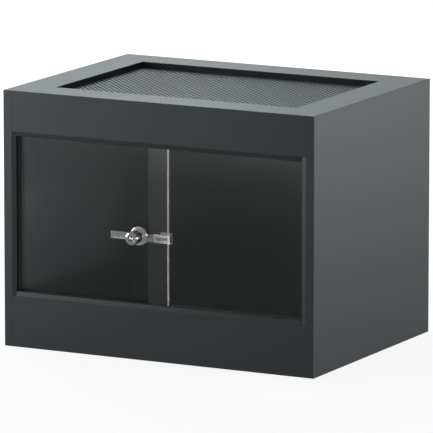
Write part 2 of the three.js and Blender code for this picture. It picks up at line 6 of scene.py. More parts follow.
import bmesh
import bpy
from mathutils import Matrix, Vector


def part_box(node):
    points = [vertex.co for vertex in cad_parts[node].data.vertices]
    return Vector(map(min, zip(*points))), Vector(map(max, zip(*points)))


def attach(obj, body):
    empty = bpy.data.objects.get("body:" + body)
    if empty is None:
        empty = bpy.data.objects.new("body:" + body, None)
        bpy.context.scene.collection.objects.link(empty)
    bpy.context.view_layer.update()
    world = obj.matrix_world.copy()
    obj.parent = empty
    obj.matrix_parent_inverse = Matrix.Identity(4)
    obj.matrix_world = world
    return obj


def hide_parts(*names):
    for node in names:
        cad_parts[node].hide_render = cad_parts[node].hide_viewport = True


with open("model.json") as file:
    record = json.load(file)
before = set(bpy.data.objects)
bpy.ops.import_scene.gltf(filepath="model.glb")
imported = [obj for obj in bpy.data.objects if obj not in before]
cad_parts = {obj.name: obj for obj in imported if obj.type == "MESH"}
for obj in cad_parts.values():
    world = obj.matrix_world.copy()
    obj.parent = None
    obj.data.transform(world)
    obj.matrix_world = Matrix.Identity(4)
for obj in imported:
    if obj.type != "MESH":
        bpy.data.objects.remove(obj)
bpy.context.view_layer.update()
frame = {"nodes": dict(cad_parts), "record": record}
scene = bpy.context.scene

MM = 0.001

# ---- Camera ----
CAMERA_AZIMUTH = math.radians(27.598)
CAMERA_ELEVATION = math.radians(10.528)
CAMERA_PLACE = (3.20747, -6.13939, 1.43406)
CAMERA_LENS = 496.85
CAMERA_SENSOR = 36.0
CAMERA_REACH = (0.1, 100.0)  # the nearest and farthest distance seen

# ---- Studio ----
FLOOR_SIZE = 30.0
FLOOR_DROP = 0.05 * MM
FLOOR_COLOUR = (0.3, 0.3, 0.3, 1)
FLOOR_GLOW = 0.88  # added to the lit floor near the cabinet, so that the camera sees it white
FLOOR_NEAR = 0.5  # the distance from the cabinet's middle at which that glow starts to rise
FLOOR_FAR = 1.3  # the distance at which it is full
REFLECTED = 0.09  # the share of the white background that metal and glass show
WORLD_COLOUR = (0.97, 0.99, 1.0, 1)
WORLD_STRENGTH = 0.1
WHITE = (1.0, 1.0, 1.0)
COOL = (0.90, 0.99, 1.0)
WARM = (1.0, 0.93, 0.86)
# Each softbox: place, aim, width and height, spread in degrees, colour, power in watts.
# The last two light only the floor in front, which the panes mirror.
SOFTBOXES = {
    "softbox_top_left": ((-1.0, 1.0, 1.2), (0, 0, 0.25), (1.0, 1.0), 180, COOL, 12.0),
    "softbox_back": ((-0.5, 2.2, 0.6), (0, 0, 0.3), (1.4, 1.4), 180, COOL, 10.3),
    "softbox_left": ((-1.0, -0.9, 0.45), (-0.1, -0.15, 0.3), (0.28, 0.28), 80, WHITE, 0.36),
    "softbox_left_low": ((-1.0, -0.9, 0.19), (-0.1, -0.15, 0.19), (0.5, 0.26), 120, WHITE, 1.5),
    "softbox_right_front": ((2.66, -2.13, 0.19), (-0.1, -0.05, 0.19), (0.6, 0.26), 120, WARM, 4.2),
    "softbox_right_low": ((2.9, -1.95, 0.1), (-0.1, -0.05, 0.15), (0.4, 0.16), 120, WARM, 12.0),
    "softbox_right": ((1.3, 0.1, 0.18), (0.2, 0, 0.15), (0.9, 0.28), 180, WHITE, 1.6),
    "softbox_right_back": ((1.3, 1.2, 0.18), (0.2, 0, 0.15), (1.0, 0.28), 180, WHITE, 7.2),
    "softbox_floor_far": ((-0.6, -1.8, 0.7), (-0.6, -1.8, 0), (0.9, 0.6), 95, WHITE, 5.7),
    "softbox_floor_near": ((-0.75, -0.95, 0.5), (-0.75, -0.95, 0), (0.4, 0.3), 80, WHITE, 0.4),
}

# ---- Finishes ----
BOARD_COLOUR = (0.0385, 0.049, 0.0555)
TRACK_COLOUR = (0.021, 0.027, 0.031)
SCREEN_COLOUR = (0.098, 0.116, 0.128)
GLASS_TINT = (0.955, 0.965, 0.96, 1)
GLASS_SMEAR_SIZE = 60 * MM
GLASS_EDGE_COLOUR = (0.42, 0.44, 0.46)
CHROME_COLOUR = (0.68, 0.69, 0.69)
NICKEL_COLOUR = (0.94, 0.95, 0.95)
SATIN_COLOUR = (0.86, 0.87, 0.87)
STEEL_COLOUR = (0.50, 0.51, 0.52)
RUBBER_COLOUR = (0.016, 0.017, 0.018)
DOWEL_COLOUR = (0.46, 0.31, 0.16)
NOISE_RANGE = (0.3, 0.7)  # where most of a noise's values lie
CLOUD_PER_STREAK = 12  # how much larger the clouds are than the streaks
CLOUD_PER_RING = 2  # how much larger the clouds are than the rings

# ---- Shapes ----
BOARD_EASE = 0.5 * MM
SEAM_EASE = 0.45 * MM
LIP_EASE = 0.15 * MM
LIP_SLOPE = 1.1 * MM  # from a front lip's root back to its free edge
LIP_REACH = 2.0 * MM  # past the back of a front lip, and short of the next one
LIP_LENGTH = 100.0 * MM  # every lip is longer
GLASS_ARRIS = 0.4 * MM
METAL_EASE = 0.2 * MM
CLIP_EASE = 0.3 * MM
BAR_EASED_LENGTH = 5.0 * MM  # the bar's edges that are longer are eased
CLIP_EASED_LENGTH = 1.5 * MM  # and the clip's
STRIP_EASED_LENGTH = 20.0 * MM  # and the screen strips'
STRIP_EASE = 0.3 * MM
PAD_EASE = 0.4 * MM
LOCK_BORE_DIAMETER = 12.4 * MM
LOCK_BORE_FLOOR = 2.55 * MM  # in front of the bar
LOCK_BARREL_DIAMETER = 15.8 * MM
LOCK_BARREL_ROUNDING = 1.6 * MM
LOCK_FLANGE_DEPTH = 6.0 * MM
LOCK_FLANGE_ROUNDING = 0.8 * MM
LOCK_NECK_FILLET = 0.35 * MM
LOCK_SLOT_CLEARANCE = 0.15 * MM  # round the bar
LOCK_SLEEVE_WALL = 0.8 * MM
LOCK_SLEEVE_DEPTH = 4.6 * MM
LOCK_SLEEVE_GAP = 1.4 * MM  # from the front pane's free edge
LOCK_SLEEVE_ROUNDING = 0.6 * MM
PAWL_WIDTH = 3.8 * MM
PAWL_HEIGHT = 2.8 * MM
PAWL_CLEARANCE = 0.25 * MM
PLUG_LENGTH = 13.6 * MM
PLUG_ROUNDING = 0.4 * MM
KEY_RING_INNER_DIAMETER = 4.6 * MM
KEY_RING_OUTER_DIAMETER = 8.4 * MM
KEY_RING_DEPTH = 6.0 * MM
KEY_POST_ROUNDING = 1.2 * MM
KEY_NOTCH_WIDTH = 1.4 * MM
KEY_NOTCH_DEPTH = 1.2 * MM
KEY_PINS = 7
KEY_PIN_DIAMETER = 1.1 * MM
KEY_PIN_RECESS = 1.6 * MM  # of a pin's end behind the plug's face
KEY_PIN_ROOT = 0.2 * MM  # of a pin in the keyway's foot
CAM_PIN_DIAMETER = 1.8 * MM
CAM_PIN_RADIUS = 4.5 * MM  # from the plug's axis
RIVET_HEAD_HEIGHT = 0.2 * MM
RIVET_HEAD_ROUNDING = 0.15 * MM
RIVET_SHANK_DIAMETER = 1.8 * MM
RIM_WALL_DEPTH = 7.0 * MM  # from the rim's top down to the screen
SCREEN_ROW_PITCH = 5.51 * MM  # between two rows of holes, which run at 45 degrees
SCREEN_HOLE_DIAMETER = 4.5 * MM
SCREEN_HOLE_SIDES = 12
SCREEN_HOLES_PAST_RIM = 2.0 * MM
CELL_CORNERS = ((1, 0), (0, 1), (-1, 0), (0, -1))  # from a cell's centre, in half diagonals
LATHE_SIDES = 96
SMALL_SIDES = 32
ROUNDING_STEPS = 4
SMOOTH_ANGLE = math.radians(32)
FLAT = math.radians(0.5)  # faces that turn less than this are one
WELD = 0.001 * MM  # corners closer than this are one
SAME = 0.01 * MM  # two places closer than this are one
FACES_AXIS = 0.99  # the least share of a face's normal along an axis that it faces
LEANS_TO_AXIS = 0.5  # the same for an axis that it leans towards
WALL_TILT = 0.1  # the most that a wall's normal rises or falls


# ---- Mesh helpers ----
def bmesh_of(node):
    """A node's mesh with its shared corners joined and its flat faces whole."""
    mesh = bmesh.new()
    mesh.from_mesh(frame["nodes"][node].data)
    bmesh.ops.remove_doubles(mesh, verts=mesh.verts, dist=WELD)
    bmesh.ops.dissolve_limit(
        mesh, angle_limit=FLAT, verts=mesh.verts, edges=mesh.edges, use_dissolve_boundaries=False
    )
    mesh.normal_update()
    return mesh


def middle(node):
    """The centre of a node's box."""
    low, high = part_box(node)
    return (low + high) / 2


def ease(mesh, width, wanted, segments=3):
    """Rounds the edges for which wanted(edge) holds, and returns the faces that this makes."""
    edges = [edge for edge in mesh.edges if len(edge.link_faces) == 2 and wanted(edge)]
    eased = bmesh.ops.bevel(
        mesh,
        geom=edges,
        offset=width,
        offset_type="OFFSET",
        segments=segments,
        profile=0.5,
        affect="EDGES",
    )
    return eased["faces"]


def is_sharp(edge):
    return edge.calc_face_angle(0) > SMOOTH_ANGLE


def is_sharp_and_longer(length):
    """A test for sharp edges that are longer than a length."""
    return lambda edge: is_sharp(edge) and edge.calc_length() > length


def upright_at(edge, x):
    """True for an upright edge at the place x."""
    one, two = [vert.co for vert in edge.verts]
    upright = abs(one.x - two.x) < SAME and abs(one.y - two.y) < SAME
    return upright and abs(one.x - x) < SAME


def add_piece(name, mesh, materials, body, replaced):
    """Makes an object of a bmesh, which rides on a body and stands for the replaced nodes."""
    mesh.normal_update()
    data = bpy.data.meshes.new(name)
    mesh.to_mesh(data)
    mesh.free()
    for material in materials:
        data.materials.append(material)
    data.shade_smooth()
    data.set_sharp_from_angle(angle=SMOOTH_ANGLE)
    piece = bpy.data.objects.new(name, data)
    scene.collection.objects.link(piece)
    flatten = piece.modifiers.new("flat_faces", "WEIGHTED_NORMAL")
    flatten.weight = 100  # the large faces keep their own direction
    flatten.keep_sharp = True
    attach(piece, body)
    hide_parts(*replaced)
    return piece


def turned(profile, x, z, sides=LATHE_SIDES):
    """A closed solid turned about an axis along Y. Its (radius, y) pairs start and end on the axis."""
    mesh = bmesh.new()
    turns = [2 * math.pi * step / sides for step in range(sides)]
    rings = []
    for radius, y in profile:
        if radius < SAME:
            rings.append([mesh.verts.new((x, y, z))])
            continue
        places = [(x + radius * math.cos(turn), y, z + radius * math.sin(turn)) for turn in turns]
        rings.append([mesh.verts.new(place) for place in places])
    for one, two in zip(rings, rings[1:]):
        for step in range(sides):
            after = (step + 1) % sides
            corners = [
                one[step % len(one)],
                one[after % len(one)],
                two[after % len(two)],
                two[step % len(two)],
            ]
            mesh.faces.new(list(dict.fromkeys(corners)))
    bmesh.ops.recalc_face_normals(mesh, faces=mesh.faces)
    return mesh


def rounded(corners):
    """A profile of (radius, y) pairs, from corners that also hold how far their rounding reaches."""
    profile = []
    for index, (radius, y, reach) in enumerate(corners):
        if not reach:
            profile.append((radius, y))
            continue
        corner = Vector((radius, y))
        before = Vector(corners[index - 1][:2])
        after = Vector(corners[index + 1][:2])
        start = corner + reach * (before - corner).normalized()
        end = corner + reach * (after - corner).normalized()
        for step in range(ROUNDING_STEPS + 1):
            share = step / ROUNDING_STEPS
            point = start * (1 - share) ** 2 + corner * 2 * share * (1 - share) + end * share**2
            profile.append(tuple(point))
    return profile


def block(low, high):
    """A block from its lowest corner to its highest corner."""
    mesh = bmesh.new()
    bmesh.ops.create_cube(mesh, size=1)
    size = Vector(high) - Vector(low)
    centre = (Vector(high) + Vector(low)) / 2
    bmesh.ops.scale(mesh, vec=size, verts=mesh.verts)
    bmesh.ops.translate(mesh, vec=centre, verts=mesh.verts)
    return mesh


def combined(base, tool, operation):
    """The union or difference of two closed bmeshes, as a new bmesh. Both are used up."""
    objects = []
    for part in (base, tool):
        bmesh.ops.triangulate(part, faces=part.faces)
        data = bpy.data.meshes.new("shape")
        part.to_mesh(data)
        part.free()
        objects.append(bpy.data.objects.new("shape", data))
        scene.collection.objects.link(objects[-1])
    modifier = objects[0].modifiers.new("combine", "BOOLEAN")
    modifier.operation = operation
    modifier.solver = "EXACT"
    modifier.object = objects[1]
    bpy.context.view_layer.update()
    evaluated = objects[0].evaluated_get(bpy.context.evaluated_depsgraph_get())
    result = bmesh.new()
    result.from_mesh(evaluated.to_mesh())
    evaluated.to_mesh_clear()
    for part in objects:
        data = part.data
        bpy.data.objects.remove(part)
        bpy.data.meshes.remove(data)
    bmesh.ops.dissolve_limit(result, angle_limit=FLAT, verts=result.verts, edges=result.edges)
    return result


# ---- Shader helpers ----
def add_node(tree, kind, inputs=None, **settings):
    """Adds a shader node. An input is a value, or a socket that is linked to it."""
    node = tree.nodes.new("ShaderNode" + kind)
    for name, value in settings.items():
        setattr(node, name, value)
    for name, value in (inputs or {}).items():
        if isinstance(value, bpy.types.NodeSocket):
            tree.links.new(value, node.inputs[name])
        else:
            node.inputs[name].default_value = value
    return node


def new_material(name, **fixed):
    """A material with one Principled shader, whose inputs named in fixed hold plain values."""
    material = bpy.data.materials.new(name)
    material.use_nodes = True
    tree = material.node_tree
    tree.nodes.clear()
    output = add_node(tree, "OutputMaterial")
    inputs = {key.replace("_", " "): value for key, value in fixed.items()}
    shader = add_node(tree, "BsdfPrincipled", inputs)
    tree.links.new(shader.outputs["BSDF"], output.inputs["Surface"])
    return material, tree, shader


def object_noise(tree, scale, detail, stretch=(1, 1, 1)):
    """Noise in the piece's own space. A stretch below 1 draws it out along that axis."""
    place = add_node(tree, "TexCoord").outputs["Object"]
    scaled = add_node(tree, "Mapping", {"Vector": place, "Scale": stretch}).outputs["Vector"]
    return add_node(tree, "TexNoise", {"Vector": scaled, "Scale": scale, "Detail": detail}).outputs["Fac"]


def mapped(tree, value, low, high, span=NOISE_RANGE):
    """A number that runs from low to high while the value runs through the span."""
    inputs = {"Value": value, "From Min": span[0], "From Max": span[1], "To Min": low, "To Max": high}
    return add_node(tree, "MapRange", inputs).outputs["Result"]


def tinted(tree, value, colour, spread):
    """A colour that noise makes darker and lighter by the share named in spread."""
    dark = (*[part * (1 - spread) for part in colour], 1)
    light = (*[part * (1 + spread) for part in colour], 1)
    mix = add_node(tree, "Mix", {"Factor": value}, data_type="RGBA")
    colours = [socket for socket in mix.inputs if socket.type == "RGBA"]
    colours[0].default_value = dark
    colours[1].default_value = light
    return next(socket for socket in mix.outputs if socket.type == "RGBA")


def blended(tree, one, two, share):
    """One noise with a share of another."""
    mix = add_node(tree, "Mix", {"Factor": share}, data_type="FLOAT")
    tree.links.new(one, mix.inputs["A"])
    tree.links.new(two, mix.inputs["B"])
    return mix.outputs["Result"]


def bumped(tree, shader, height, depth):
    bump = add_node(tree, "Bump", {"Height": height, "Distance": depth, "Strength": 1.0})
    tree.links.new(bump.outputs["Normal"], shader.inputs["Normal"])


def grained(name, colour, spread, blotch_size, grain_size, roughness, depth, **fixed):
    """Moulded or painted stock: soft blotches and a fine grain in its colour, gloss and height."""
    material, tree, shader = new_material(name, **fixed)
    blotches = object_noise(tree, 1 / blotch_size, detail=3)
    grain = object_noise(tree, 1 / grain_size, detail=2)
    tone = mapped(tree, blended(tree, blotches, grain, share=0.5), 0, 1)
    tree.links.new(tinted(tree, tone, colour, spread), shader.inputs["Base Color"])
    tree.links.new(mapped(tree, grain, *roughness), shader.inputs["Roughness"])
    bumped(tree, shader, blended(tree, blotches, grain, share=0.7), depth)
    return material


def streaked(name, colour, spread, streak_size, stretch, roughness, depth, **fixed):
    """Drawn, polished or extruded stock: fine streaks along the axis whose stretch is small."""
    material, tree, shader = new_material(name, **fixed)
    streaks = object_noise(tree, 1 / streak_size, detail=3, stretch=stretch)
    clouds = object_noise(tree, 1 / (CLOUD_PER_STREAK * streak_size), detail=2)
    tone = mapped(tree, blended(tree, streaks, clouds, share=0.5), 0, 1)
    tree.links.new(tinted(tree, tone, colour, spread), shader.inputs["Base Color"])
    tree.links.new(mapped(tree, clouds, *roughness), shader.inputs["Roughness"])
    bumped(tree, shader, streaks, depth)
    return material


def turned_finish(name, colour, spread, axis, ring_size, roughness, depth, **fixed):
    """Plated metal with fine rings round an axis along Y, as a lathe leaves them, and soft clouds."""
    material, tree, shader = new_material(name, **fixed)
    place = add_node(tree, "TexCoord").outputs["Object"]
    off_axis = {"Vector": place, "Location": (-axis.x, 0, -axis.z), "Scale": (1, 0, 1)}
    flat = add_node(tree, "Mapping", off_axis).outputs["Vector"]
    radius = add_node(tree, "VectorMath", {0: flat}, operation="LENGTH").outputs["Value"]
    waves = {"W": radius, "Scale": 1 / ring_size, "Detail": 2}
    rings = add_node(tree, "TexNoise", waves, noise_dimensions="1D").outputs["Fac"]
    clouds = object_noise(tree, 1 / (CLOUD_PER_RING * ring_size), detail=2)
    tone = mapped(tree, blended(tree, rings, clouds, share=0.5), 0, 1)
    tree.links.new(tinted(tree, tone, colour, spread), shader.inputs["Base Color"])
    tree.links.new(mapped(tree, clouds, *roughness), shader.inputs["Roughness"])
    bumped(tree, shader, blended(tree, rings, clouds, share=0.6), depth)
    return material


def clear_glass():
    """Clear float glass with a faint green tint. Lamps light what is behind it."""
    material, tree, shader = new_material(
        "clear_glass",
        Base_Color=GLASS_TINT,
        Transmission_Weight=1.0,
        IOR=1.5,
    )
    smears = object_noise(tree, 1 / GLASS_SMEAR_SIZE, detail=3)
    tree.links.new(mapped(tree, smears, 0.0, 0.03), shader.inputs["Roughness"])
    path = add_node(tree, "LightPath")
    clear = add_node(tree, "BsdfTransparent", {"Color": GLASS_TINT})
    mix = add_node(tree, "MixShader", {0: path.outputs["Is Shadow Ray"]})
    tree.links.new(shader.outputs["BSDF"], mix.inputs[1])
    tree.links.new(clear.outputs["BSDF"], mix.inputs[2])
    output = next(node for node in tree.nodes if node.type == "OUTPUT_MATERIAL")
    tree.links.new(mix.outputs["Shader"], output.inputs["Surface"])
    return material


BOARD = grained(
    "plastic_board",
    BOARD_COLOUR,
    spread=0.10,
    blotch_size=6 * MM,
    grain_size=1.1 * MM,
    roughness=(0.42, 0.56),
    depth=0.06 * MM,
    Specular_IOR_Level=0.5,
)
TRACK_X, TRACK_Z = [
    streaked(
        name,
        TRACK_COLOUR,
        spread=0.06,
        streak_size=0.8 * MM,
        stretch=stretch,
        roughness=(0.40, 0.46),
        depth=0.003 * MM,
        Specular_IOR_Level=0.6,
    )
    for name, stretch in (("track_along_x", (0.02, 1, 1)), ("track_along_z", (1, 1, 0.02)))
]
SCREEN = grained(
    "coated_sheet",
    SCREEN_COLOUR,
    spread=0.06,
    blotch_size=9 * MM,
    grain_size=0.5 * MM,
    roughness=(0.40, 0.52),
    depth=0.02 * MM,
)
GLASS = clear_glass()
GLASS_EDGE = grained(
    "ground_glass_edge",
    GLASS_EDGE_COLOUR,
    spread=0.08,
    blotch_size=3 * MM,
    grain_size=0.3 * MM,
    roughness=(0.28, 0.42),
    depth=0.02 * MM,
)
CHROME = streaked(
    "chrome_plate",
    CHROME_COLOUR,
    spread=0.03,
    streak_size=0.5 * MM,
    stretch=(0.15, 1, 1),
    roughness=(0.07, 0.14),
    depth=0.003 * MM,
    Metallic=1.0,
)
TURNED = turned_finish(
    "turned_chrome",
    NICKEL_COLOUR,
    spread=0.12,
    axis=middle("lock_plug"),
    ring_size=1.2 * MM,
    roughness=(0.06, 0.16),
    depth=0.09 * MM,
    Metallic=1.0,
)
SATIN = streaked(
    "satin_chrome",
    SATIN_COLOUR,
    spread=0.25,
    streak_size=0.6 * MM,
    stretch=(0.04, 1, 1),
    roughness=(0.34, 0.48),
    depth=0.03 * MM,
    Metallic=1.0,
)
STEEL = streaked(
    "zinc_plated_steel",
    STEEL_COLOUR,
    spread=0.12,
    streak_size=0.3 * MM,
    stretch=(1, 1, 0.3),
    roughness=(0.28, 0.42),
    depth=0.01 * MM,
    Metallic=1.0,
)
RUBBER = grained(
    "black_rubber",
    RUBBER_COLOUR,
    spread=0.15,
    blotch_size=2 * MM,
    grain_size=0.3 * MM,
    roughness=(0.70, 0.85),
    depth=0.04 * MM,
)
DOWEL = streaked(
    "beech",
    DOWEL_COLOUR,
    spread=0.18,
    streak_size=0.5 * MM,
    stretch=(0.05, 1, 1),
    roughness=(0.62, 0.78),
    depth=0.05 * MM,
)

SLOT_MATERIALS = {
    "board": BOARD,
    "track": TRACK_X,
    "screen": SCREEN,
    "glass": GLASS,
    "chrome": CHROME,
    "steel": STEEL,
    "rubber": RUBBER,
    "dowel": DOWEL,
}


def finish_cad_nodes():
    """Gives every node that is carried over the material of its slot."""
    for subpart in frame["record"]["subparts"]:
        materials = frame["nodes"][subpart["node"]].data.materials
        materials.clear()
        materials.append(SLOT_MATERIALS[subpart["material_slot"]])


# ---- Boards: copies of the solids with their outer edges eased ----
def add_boards():
    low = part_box("left_side_panel")[0]
    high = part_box("right_side_panel")[1]
    rim_low, rim_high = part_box("top_frame")
    seams = [end.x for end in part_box("front_header")]

    def outside(face):
        axis = max(range(3), key=lambda index: abs(face.normal[index]))
        edge = high[axis] if face.normal[axis] > 0 else low[axis]
        return abs(face.calc_center_median()[axis] - edge) < SAME

    def outer_edge(edge):
        return is_sharp(edge) and all(outside(face) for face in edge.link_faces)

    def inside_rim(vert):
        across = rim_low.x + SAME < vert.co.x < rim_high.x - SAME
        return across and rim_low.y + SAME < vert.co.y < rim_high.y - SAME

    def opening_edge(edge):
        """An upper edge of the rim's opening."""
        on_top = all(abs(vert.co.z - high.z) < SAME for vert in edge.verts)
        return is_sharp(edge) and on_top and all(inside_rim(vert) for vert in edge.verts)

    def seam_edge(edge):
        """An upright edge on the front, between a side board and the header or kick board."""
        on_front = all(abs(vert.co.y - low.y) < SAME for vert in edge.verts)
        return is_sharp(edge) and on_front and any(upright_at(edge, x) for x in seams)

    names = {
        "left_side_panel": "left_side_board",
        "right_side_panel": "right_side_board",
        "front_header": "header_board",
        "front_kick_board": "kick_board",
        "base_panel": "base_board",
        "back_panel": "back_board",
        "top_frame": "top_rim_board",
    }
    for node, name in names.items():
        mesh = bmesh_of(node)
        ease(mesh, BOARD_EASE, outer_edge)
        ease(mesh, SEAM_EASE, seam_edge)
        if node == "top_frame":
            ease(mesh, BOARD_EASE, opening_edge)
        add_piece(name, mesh, [BOARD], "cabinet", [node])


# ---- Door tracks: front lips that slope towards the glass ----
def add_tracks():
    lips = {
        "door_track_bottom": ("bottom_track", 2, 1, TRACK_X),
        "door_track_top": ("top_track", 2, 0, TRACK_X),
        "side_channel_left": ("left_channel", 0, 1, TRACK_Z),
        "side_channel_right": ("right_channel", 0, 0, TRACK_Z),
    }
    for node, (name, axis, end, material) in lips.items():
        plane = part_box(node)[end][axis]
        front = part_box(node)[0].y

        def at_lip(vert):
            return abs(vert.co[axis] - plane) < SAME and vert.co.y < front + LIP_REACH

        def lip_edge(edge):
            return edge.calc_length() > LIP_LENGTH and all(at_lip(vert) for vert in edge.verts)

        mesh = bmesh_of(node)
        for vert in mesh.verts:
            if at_lip(vert) and vert.co.y < front + SAME:
                vert.co.y += LIP_SLOPE
        mesh.normal_update()
        ease(mesh, LIP_EASE, lip_edge, segments=2)
        add_piece(name, mesh, [material], "cabinet", [node])


# ---- Top screen: a punched sheet ----
def add_screen():
    """Square cells at 45 degrees, each with a round hole, and a plain border out to the sheet's edge."""
    low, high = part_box("top_screen")
    rim_low, rim_high = rim_opening()
    half = SCREEN_ROW_PITCH / math.sqrt(2)  # from a cell's centre to its corner
    mesh = bmesh.new()
    corners = {}

    def corner(column, row):
        if (column, row) not in corners:
            corners[column, row] = mesh.verts.new((column * half, row * half, high.z))
        return corners[column, row]

    reach = [rim_high[axis] + SCREEN_HOLES_PAST_RIM for axis in range(2)]
    last = [math.floor(reach[axis] / half) for axis in range(2)]
    per_side = SCREEN_HOLE_SIDES // 4
    radius = SCREEN_HOLE_DIAMETER / 2
    turns = [2 * math.pi * step / SCREEN_HOLE_SIDES for step in range(SCREEN_HOLE_SIDES)]
    hole = [radius * Vector((math.cos(turn), math.sin(turn), 0)) for turn in turns]
    for column in range(-last[0], last[0] + 1):
        for row in range(-last[1], last[1] + 1):
            if (column + row) % 2:
                continue
            outer = [corner(column + right, row + back) for right, back in CELL_CORNERS]
            centre = Vector((column * half, row * half, high.z))
            inner = [mesh.verts.new(centre + place) for place in hole]
            for side in range(4):
                first = side * per_side
                arc = [inner[(first + step) % SCREEN_HOLE_SIDES] for step in range(per_side + 1)]
                mesh.faces.new([outer[side], outer[(side + 1) % 4], *reversed(arc)])
    lattice = set(corners.values())
    border = [edge for edge in mesh.edges if edge.is_boundary and edge.verts[0] in lattice]
    places = ((low.x, low.y), (high.x, low.y), (high.x, high.y), (low.x, high.y))
    sheet = [mesh.verts.new((x, y, high.z)) for x, y in places]
    border += [mesh.edges.new((sheet[index], sheet[(index + 1) % 4])) for index in range(4)]
    bmesh.ops.triangle_fill(mesh, use_beauty=True, edges=border)
    bmesh.ops.recalc_face_normals(mesh, faces=mesh.faces)
    if sum(face.normal.z for face in mesh.faces) < 0:
        bmesh.ops.reverse_faces(mesh, faces=mesh.faces)
    thickened = bmesh.ops.extrude_face_region(mesh, geom=mesh.faces[:])
    lower = [item for item in thickened["geom"] if isinstance(item, bmesh.types.BMVert)]
    bmesh.ops.translate(mesh, vec=(0, 0, low.z - high.z), verts=lower)
    bmesh.ops.recalc_face_normals(mesh, faces=mesh.faces)
    add_piece("punched_screen", mesh, [SCREEN], "cabinet", ["top_screen"])


def rim_opening():
    """The lowest and highest corner of the rim's opening, from the walls that face its middle."""
    mesh = bmesh_of("top_frame")
    board_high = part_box("top_frame")[1]
    walls = [
        face
        for face in mesh.faces
        if abs(face.normal.z) < WALL_TILT
        and face.calc_center_median().z > board_high.z - RIM_WALL_DEPTH
        and face.calc_center_median().xy.dot(face.normal.xy) < 0
    ]
    points = [vert.co.copy() for face in walls for vert in face.verts]
    mesh.free()
    low = Vector([min(point[axis] for point in points) for axis in range(3)])
    high = Vector([max(point[axis] for point in points) for axis in range(3)])
    return low, high


def add_strips():
    for side in ("front", "back", "left", "right"):
        mesh = bmesh_of("screen_strip_" + side)
        ease(mesh, STRIP_EASE, is_sharp_and_longer(STRIP_EASED_LENGTH))
        add_piece("strip_" + side, mesh, [TRACK_X], "cabinet", ["screen_strip_" + side])


# ---- Glass doors ----
def add_panes():
    """Panes with ground edges, except the front pane's free edge, which is polished."""
    free_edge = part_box("front_glass_pane")[0].x

    def ground_edge(edge):
        return is_sharp(edge) and not upright_at(edge, free_edge)

    for node, body in (("rear_glass_pane", "rear_door"), ("front_glass_pane", "front_door")):
        mesh = bmesh_of(node)
        ease(mesh, GLASS_ARRIS, ground_edge, segments=2)
        mesh.normal_update()
        for face in mesh.faces:
            on_free_edge = node == "front_glass_pane" and face.normal.x < -LEANS_TO_AXIS
            large = abs(face.normal.y) > FACES_AXIS
            face.material_index = 0 if large or on_free_edge else 1
        name = node.replace("glass_pane", "pane")
        add_piece(name, mesh, [GLASS, GLASS_EDGE], body, [node])


# ---- Lock, bar and hook ----
def add_lock_metal():
    mesh = bmesh_of("ratchet_bar")
    ease(mesh, METAL_EASE, is_sharp_and_longer(BAR_EASED_LENGTH))
    add_piece("toothed_bar", mesh, [CHROME], "rear_door", ["ratchet_bar"])
    mesh = bmesh_of("hook_clip")
    for face in ease(mesh, CLIP_EASE, is_sharp_and_longer(CLIP_EASED_LENGTH), segments=2):
        face.material_index = 1
    add_piece("hooked_plate", mesh, [SATIN, CHROME], "rear_door", ["hook_clip"])
    for side in ("front", "rear"):
        mesh = bmesh_of("hook_pad_" + side)
        ease(mesh, PAD_EASE, is_sharp)
        add_piece("pad_" + side, mesh, [RUBBER], "rear_door", ["hook_pad_" + side])


def add_lock_housing():
    """A turned barrel and flange on a sleeve round the bar, bored for the plug and the pawl."""
    low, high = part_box("lock_housing")
    bar_low, bar_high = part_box("ratchet_bar")
    axis_x = middle("lock_plug").x
    axis_z = middle("lock_housing").z
    flange = (high.z - low.z) / 2
    barrel = LOCK_BARREL_DIAMETER / 2
    bore = LOCK_BORE_DIAMETER / 2
    flange_front = high.y - LOCK_FLANGE_DEPTH
    floor = bar_low.y - LOCK_BORE_FLOOR
    profile = [
        (0, floor, 0),
        (bore, floor, 0),
        (bore, low.y, METAL_EASE),
        (barrel, low.y, LOCK_BARREL_ROUNDING),
        (barrel, flange_front, LOCK_NECK_FILLET),
        (flange, flange_front, LOCK_FLANGE_ROUNDING),
        (flange, high.y, METAL_EASE),
        (0, high.y, 0),
    ]
    slot = (bar_high.z - bar_low.z) / 2 + LOCK_SLOT_CLEARANCE
    reach = slot + LOCK_SLEEVE_WALL
    bar_z = middle("ratchet_bar").z
    sleeve_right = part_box("front_glass_pane")[0].x - LOCK_SLEEVE_GAP
    sleeve = block(
        (low.x, high.y - LOCK_SLEEVE_DEPTH, bar_z - reach),
        (sleeve_right, high.y, bar_z + reach),
    )

    def right_edge(edge):
        return all(vert.co.x > sleeve_right - SAME for vert in edge.verts)

    ease(sleeve, LOCK_SLEEVE_ROUNDING, right_edge)
    bar_slot = block(
        (low.x - flange, bar_low.y - LOCK_SLOT_CLEARANCE, bar_z - slot),
        (high.x + flange, bar_high.y + LOCK_SLOT_CLEARANCE, bar_z + slot),
    )
    hole = (PAWL_WIDTH / 2 + PAWL_CLEARANCE, PAWL_HEIGHT / 2 + PAWL_CLEARANCE)
    pawl_hole = block(
        (axis_x - hole[0], floor - LOCK_BORE_FLOOR, axis_z - hole[1]),
        (axis_x + hole[0], bar_low.y, axis_z + hole[1]),
    )
    mesh = combined(turned(rounded(profile), axis_x, axis_z), sleeve, "UNION")
    mesh = combined(mesh, bar_slot, "DIFFERENCE")
    mesh = combined(mesh, pawl_hole, "DIFFERENCE")
    add_piece("lock_barrel", mesh, [TURNED], "front_door", ["lock_housing"])


